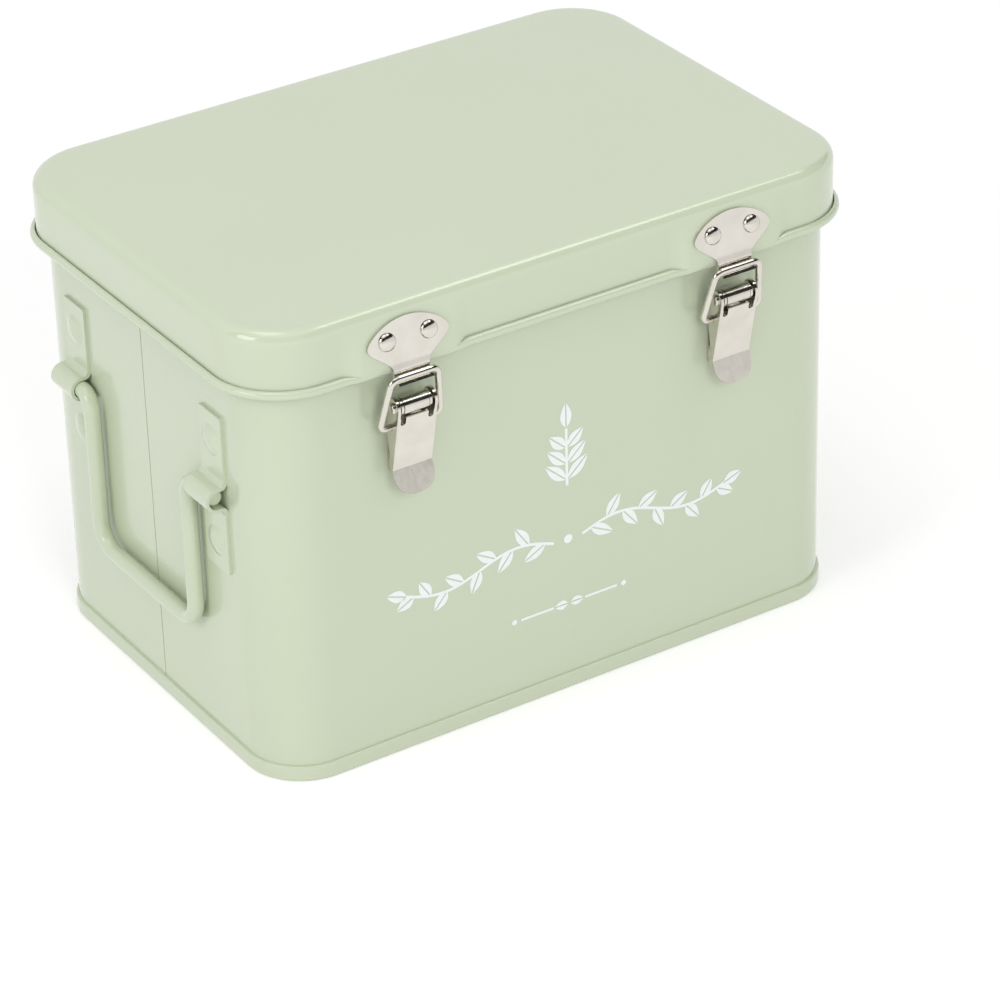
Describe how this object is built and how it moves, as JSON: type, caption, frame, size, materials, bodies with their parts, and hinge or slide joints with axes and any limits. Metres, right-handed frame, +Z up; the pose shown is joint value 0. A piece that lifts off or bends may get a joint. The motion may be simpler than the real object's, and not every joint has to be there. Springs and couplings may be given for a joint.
{
  "type": "garden seed storage box",
  "caption": "Painted sheet-steel storage box for seed packets with a rear-hinged lid, two over-centre toggle latches at the front and a swinging wire handle at each end.",
  "frame": {"origin": "middle of the base, on the surface the box stands on", "axes": "+Z up, -Y the front with the latches, X across the box between its two handles"},
  "size_m": [0.214, 0.1563, 0.148],
  "materials": {
    "paint": "smooth semi-gloss powder coat, pale sage green",
    "nickel": "polished nickel plate"
  },
  "bodies": {
    "box": {"body_wall": "paint", "base_panel": "paint", "bracket_rivets": "nickel", "latch_base_left": "nickel", "latch_base_right": "nickel", "latch_base_rivets": "nickel", "hinge_leaf_body_left": "nickel", "hinge_leaf_body_right": "nickel", "hinge_body_rivets": "nickel", "hinge_pin_left": "nickel", "hinge_pin_right": "nickel", "handle_bracket_left_front": "paint", "handle_bracket_left_rear": "paint", "handle_bracket_right_front": "paint", "handle_bracket_right_rear": "paint"},
    "lid": {"lid_shell": "paint", "catch_plate_left": "nickel", "catch_plate_right": "nickel", "catch_rivets": "nickel", "hinge_leaf_lid_left": "nickel", "hinge_leaf_lid_right": "nickel", "hinge_lid_rivets": "nickel"},
    "handle_left": {"handle_left": "paint"},
    "handle_right": {"handle_right": "paint"},
    "lever_left": {"latch_lever_left": "nickel", "latch_pivot_pin_left": "nickel"},
    "bail_left": {"latch_bail_left": "nickel"},
    "lever_right": {"latch_lever_right": "nickel", "latch_pivot_pin_right": "nickel"},
    "bail_right": {"latch_bail_right": "nickel"}
  },
  "joints": [
    {"name": "lid_open", "type": "hinge", "parent": "box", "child": "lid", "pos_m": [0, 0.07665, 0.1275], "axis": [-1, 0, 0], "range_deg": [0, 110]},
    {"name": "lever_left_swing", "type": "hinge", "parent": "box", "child": "lever_left", "pos_m": [-0.055, -0.0743, 0.1175], "axis": [-1, 0, 0], "range_deg": [0, 95]},
    {"name": "bail_left_swing", "type": "hinge", "parent": "lever_left", "child": "bail_left", "pos_m": [-0.055, -0.0725, 0.1106], "axis": [-1, 0, 0], "range_deg": [-66.5, 0]},
    {"name": "lever_right_swing", "type": "hinge", "parent": "box", "child": "lever_right", "pos_m": [0.055, -0.0743, 0.1175], "axis": [-1, 0, 0], "range_deg": [0, 95]},
    {"name": "bail_right_swing", "type": "hinge", "parent": "lever_right", "child": "bail_right", "pos_m": [0.055, -0.0725, 0.1106], "axis": [-1, 0, 0], "range_deg": [-66.5, 0]},
    {"name": "handle_left_lift", "type": "hinge", "parent": "box", "child": "handle_left", "pos_m": [-0.1032, 0, 0.0885], "axis": [0, 1, 0], "range_deg": [0, 170]},
    {"name": "handle_right_lift", "type": "hinge", "parent": "box", "child": "handle_right", "pos_m": [0.1032, 0, 0.0885], "axis": [0, -1, 0], "range_deg": [0, 170]}
  ],
  "couplings": [
    {"joint": "bail_left_swing", "follows": "lever_left_swing", "ratio": -0.7},
    {"joint": "bail_right_swing", "follows": "lever_right_swing", "ratio": -0.7}
  ]
}
